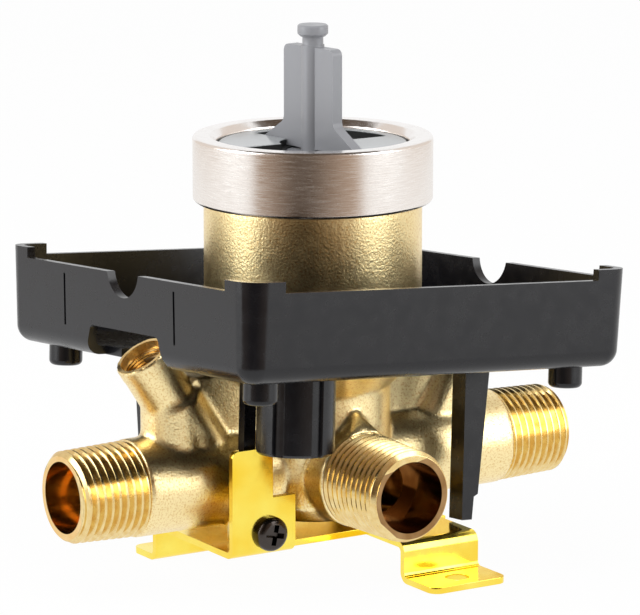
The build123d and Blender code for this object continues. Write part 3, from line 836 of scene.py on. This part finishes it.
def bareMaterial(name):
    material = bpy.data.materials.new(name)
    material.use_nodes = True
    material.node_tree.nodes.remove(material.node_tree.nodes["Principled BSDF"])
    return material, material.node_tree


def mathNode(tree, operation):
    node = tree.nodes.new("ShaderNodeMath")
    node.operation = operation
    return node


def addFloor():
    bpy.ops.mesh.primitive_plane_add(size=studio["floorSize"], location=(0, 0, 0))
    floor = bpy.context.active_object
    floor.name = "studioFloor"
    material, tree = bareMaterial("studioFloor")
    paper = tree.nodes.new("ShaderNodeBsdfDiffuse")
    paper.inputs["Color"].default_value = (*studio["floorColour"], 1)
    glow = tree.nodes.new("ShaderNodeEmission")
    glow.inputs["Strength"].default_value = 1.0
    path = tree.nodes.new("ShaderNodeLightPath")
    seen = mathNode(tree, "MAXIMUM")
    share = mathNode(tree, "MULTIPLY")
    share.inputs[1].default_value = studio["floorGlow"]
    mix = tree.nodes.new("ShaderNodeMixShader")
    tree.links.new(path.outputs["Is Camera Ray"], seen.inputs[0])
    tree.links.new(path.outputs["Is Glossy Ray"], seen.inputs[1])
    tree.links.new(seen.outputs["Value"], share.inputs[0])
    tree.links.new(share.outputs["Value"], mix.inputs["Fac"])
    tree.links.new(paper.outputs["BSDF"], mix.inputs[1])
    tree.links.new(glow.outputs["Emission"], mix.inputs[2])
    tree.links.new(mix.outputs["Shader"], tree.nodes["Material Output"].inputs["Surface"])
    floor.data.materials.append(material)


def fromCamera(turn, distance, height):
    angle = view["azimuth"] + turn
    return Vector((distance * sin(angle), -distance * cos(angle), height))


def curvedCard(name, start, end, distance):
    card = startOutline(fromCamera(start, distance, studio["cardFoot"]))
    card.name = name
    extrudeBy((0, 0, studio["cardHeight"]))
    bpy.ops.object.mode_set(mode="OBJECT")
    sweep = card.modifiers.new("sweep", "SCREW")
    sweep.axis = "Z"
    sweep.angle = end - start
    sweep.steps = sweep.render_steps = studio["cardSteps"]
    applyModifiers(card)
    return card


def glowCard(card, tint, strength):
    material, tree = bareMaterial(card.name)
    glow = tree.nodes.new("ShaderNodeEmission")
    glow.inputs["Color"].default_value = (*tint, 1)
    glow.inputs["Strength"].default_value = strength
    tree.links.new(glow.outputs["Emission"], tree.nodes["Material Output"].inputs["Surface"])
    card.data.materials.append(material)
    card.visible_camera = False
    card.visible_diffuse = False
    card.visible_shadow = False
    return tree, glow


def addDarkCard():
    reach = studio["cardDistance"]
    middle = studio["cardMiddle"]
    card = curvedCard("darkCard", studio["cardFrom"], studio["cardTo"], reach)
    tree, glow = glowCard(card, studio["cardTint"], middle)
    spot = tree.nodes.new("ShaderNodeTexCoord")
    across = tree.nodes.new("ShaderNodeVectorMath")
    across.operation = "DOT_PRODUCT"
    across.inputs[1].default_value = (cos(view["azimuth"]), sin(view["azimuth"]), 0)
    tree.links.new(spot.outputs["Object"], across.inputs[0])
    start, end = (share * reach for share in studio["cardFadeLeft"])
    left = spread(tree, across.outputs["Value"], studio["cardLeft"], middle, start, end)
    start, end = (share * reach for share in studio["cardFadeRight"])
    right = spread(tree, across.outputs["Value"], 0, studio["cardRight"] - middle, start, end)
    level = mathNode(tree, "ADD")
    tree.links.new(left, level.inputs[0])
    tree.links.new(right, level.inputs[1])
    tree.links.new(level.outputs["Value"], glow.inputs["Strength"])


def addSideCards():
    for name, side in (("leftCard", -1), ("rightCard", 1)):
        card = curvedCard(name, side * studio["sideFrom"], side * studio["sideTo"], studio["sideDistance"])
        glowCard(card, studio["sideTint"], studio["sideGlow"])


def addCeiling():
    bpy.ops.mesh.primitive_plane_add(size=studio["ceilingSize"], location=(0, 0, 0))
    card = place(bpy.context.active_object, Matrix.Translation((0, 0, studio["ceilingHeight"])))
    card.name = "ceilingCard"
    glowCard(card, studio["cardTint"], studio["ceilingGlow"])


def addLamp(name, facts):
    lamp = bpy.data.lights.new(name, "AREA")
    lamp.shape = "RECTANGLE"
    lamp.size, lamp.size_y = facts["size"]
    lamp.energy = facts["power"]
    holder = bpy.data.objects.new(name, lamp)
    bpy.context.scene.collection.objects.link(holder)
    location = fromCamera(facts["turn"], facts["distance"], facts["height"])
    holder.location = location
    holder.rotation_euler = (Vector(studio["lampAim"]) - location).to_track_quat("-Z", "Y").to_euler()
    holder.visible_glossy = facts["mirrored"]


def addWorld():
    world = bpy.data.worlds.new("studio")
    bpy.context.scene.world = world
    world.use_nodes = True
    tree = world.node_tree
    sky = tree.nodes["Background"]
    sky.inputs["Color"].default_value = (1, 1, 1, 1)
    path = tree.nodes.new("ShaderNodeLightPath")
    first = mathNode(tree, "MAXIMUM")
    second = mathNode(tree, "MAXIMUM")
    strength = tree.nodes.new("ShaderNodeMapRange")
    strength.inputs["To Min"].default_value = studio["skyLight"]
    strength.inputs["To Max"].default_value = 1.0
    tree.links.new(path.outputs["Is Camera Ray"], first.inputs[0])
    tree.links.new(path.outputs["Is Glossy Ray"], first.inputs[1])
    tree.links.new(first.outputs["Value"], second.inputs[0])
    tree.links.new(path.outputs["Is Transmission Ray"], second.inputs[1])
    tree.links.new(second.outputs["Value"], strength.inputs["Value"])
    tree.links.new(strength.outputs["Result"], sky.inputs["Strength"])


def addCamera():
    azimuth = view["azimuth"]
    elevation = view["elevation"]
    right = Vector((cos(azimuth), sin(azimuth), 0))
    back = Vector((sin(azimuth) * cos(elevation), -cos(azimuth) * cos(elevation), sin(elevation)))
    up = back.cross(right)
    aim = Vector((0, 0, castBody["portHeight"])) + view["aimRight"] * right + view["aimUp"] * up
    lens = bpy.data.cameras.new("photo")
    lens.lens = view["lens"]
    lens.sensor_width = view["sensor"]
    camera = bpy.data.objects.new("photo", lens)
    bpy.context.scene.collection.objects.link(camera)
    camera.location = aim + view["distance"] * back
    camera.rotation_euler = (pi / 2 - elevation, 0, azimuth)
    bpy.context.scene.camera = camera


addFloor()
addDarkCard()
addSideCards()
addCeiling()
for name, facts in lamps.items():
    addLamp(name, facts)
addWorld()
addCamera()
bpy.context.scene.view_settings.view_transform = "Standard"
print("studio set")
